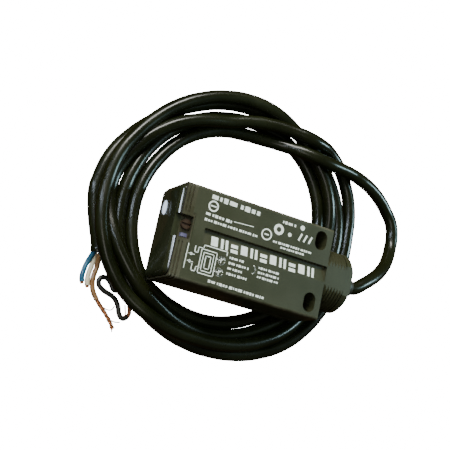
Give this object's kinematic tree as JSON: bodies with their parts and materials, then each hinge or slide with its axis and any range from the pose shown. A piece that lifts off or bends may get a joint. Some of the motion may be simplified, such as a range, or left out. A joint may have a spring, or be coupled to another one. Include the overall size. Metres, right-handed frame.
{
  "type": "photoelectric sensor",
  "caption": "Rectangular diffuse photoelectric sensor with a dark front window, a turnable sensitivity adjuster, a flatted M18 threaded neck, cross slots and a loosely wound cable.",
  "frame": {"origin": "on the threaded neck's axis, at the shoulder where the neck leaves the body", "axes": "+X along the body out of the neck (the window looks along -X), +Y across the body, +Z out of the label face"},
  "size_m": [0.1033, 0.0806, 0.02],
  "materials": {
    "housing_plastic": "satin moulded olive-grey engineering plastic",
    "bezel_plastic": "satin moulded olive-grey plastic with fine ribs",
    "gasket_rubber": "matt black rubber",
    "window_acrylic": "glossy infrared-passing acrylic, nearly black",
    "holder_plastic": "matt black moulded plastic",
    "lens_acrylic": "clear polished acrylic",
    "lamp_red": "clear red epoxy",
    "can_metal": "tinned metal can",
    "board_laminate": "green solder mask on glass-epoxy laminate",
    "chip_epoxy": "black moulded epoxy",
    "shield_metal": "thin tinned sheet steel",
    "capacitor_can": "satin aluminium cans",
    "resistor_ceramic": "black ceramic with a matt film",
    "pot_body": "blue moulded plastic",
    "lamp_green": "clear green epoxy",
    "lamp_yellow": "clear yellow epoxy",
    "lamp_orange": "clear orange epoxy",
    "guide_acrylic": "clear polished acrylic",
    "adjuster_plastic": "dark brown moulded plastic",
    "rotor_plastic": "off-white moulded plastic",
    "lead_insulation": "coloured PVC over copper strands",
    "potting_resin": "black cast resin",
    "cable_jacket": "satin black cable jacket",
    "sleeve_metal": "drawn aluminium",
    "boot_rubber": "matt black moulded rubber",
    "insulation_brown": "brown PVC insulation",
    "insulation_blue": "blue PVC insulation",
    "insulation_white": "off-white PVC insulation",
    "insulation_black": "black PVC insulation"
  },
  "bodies": {
    "sensor_body": {"housing": "housing_plastic", "front_bezel": "bezel_plastic", "window_gasket": "gasket_rubber", "front_window": "window_acrylic", "lens_block": "holder_plastic", "emitter_lens": "lens_acrylic", "receiver_lens": "lens_acrylic", "emitter_led": "lamp_red", "receiver_diode": "can_metal", "optics_board": "board_laminate", "main_board": "board_laminate", "board_header": "chip_epoxy", "controller_chip": "chip_epoxy", "amplifier_shield": "shield_metal", "regulator": "chip_epoxy", "output_transistors": "chip_epoxy", "capacitors": "capacitor_can", "resistors": "resistor_ceramic", "adjuster_board": "board_laminate", "potentiometer": "pot_body", "power_led": "lamp_green", "output_led": "lamp_yellow", "margin_led": "lamp_orange", "light_guide": "guide_acrylic", "adjuster_seal": "gasket_rubber", "board_leads": "lead_insulation", "potting_plug": "potting_resin", "cable_stub": "cable_jacket", "crimp_sleeve": "sleeve_metal", "cable_boot": "boot_rubber", "cable_lead": "cable_jacket", "cable_coil": "cable_jacket", "cable_tail": "cable_jacket", "wire_brown": "insulation_brown", "wire_blue": "insulation_blue", "wire_white": "insulation_white", "wire_black": "insulation_black"},
    "adjuster": {"adjuster_screw": "adjuster_plastic", "pot_rotor": "rotor_plastic"}
  },
  "joints": [
    {"name": "adjuster_turn", "type": "hinge", "parent": "sensor_body", "child": "adjuster", "pos_m": [-0.0455, 0.0018, 0.0045], "axis": [0, 0, 1], "range_deg": [-135, 135]}
  ]
}
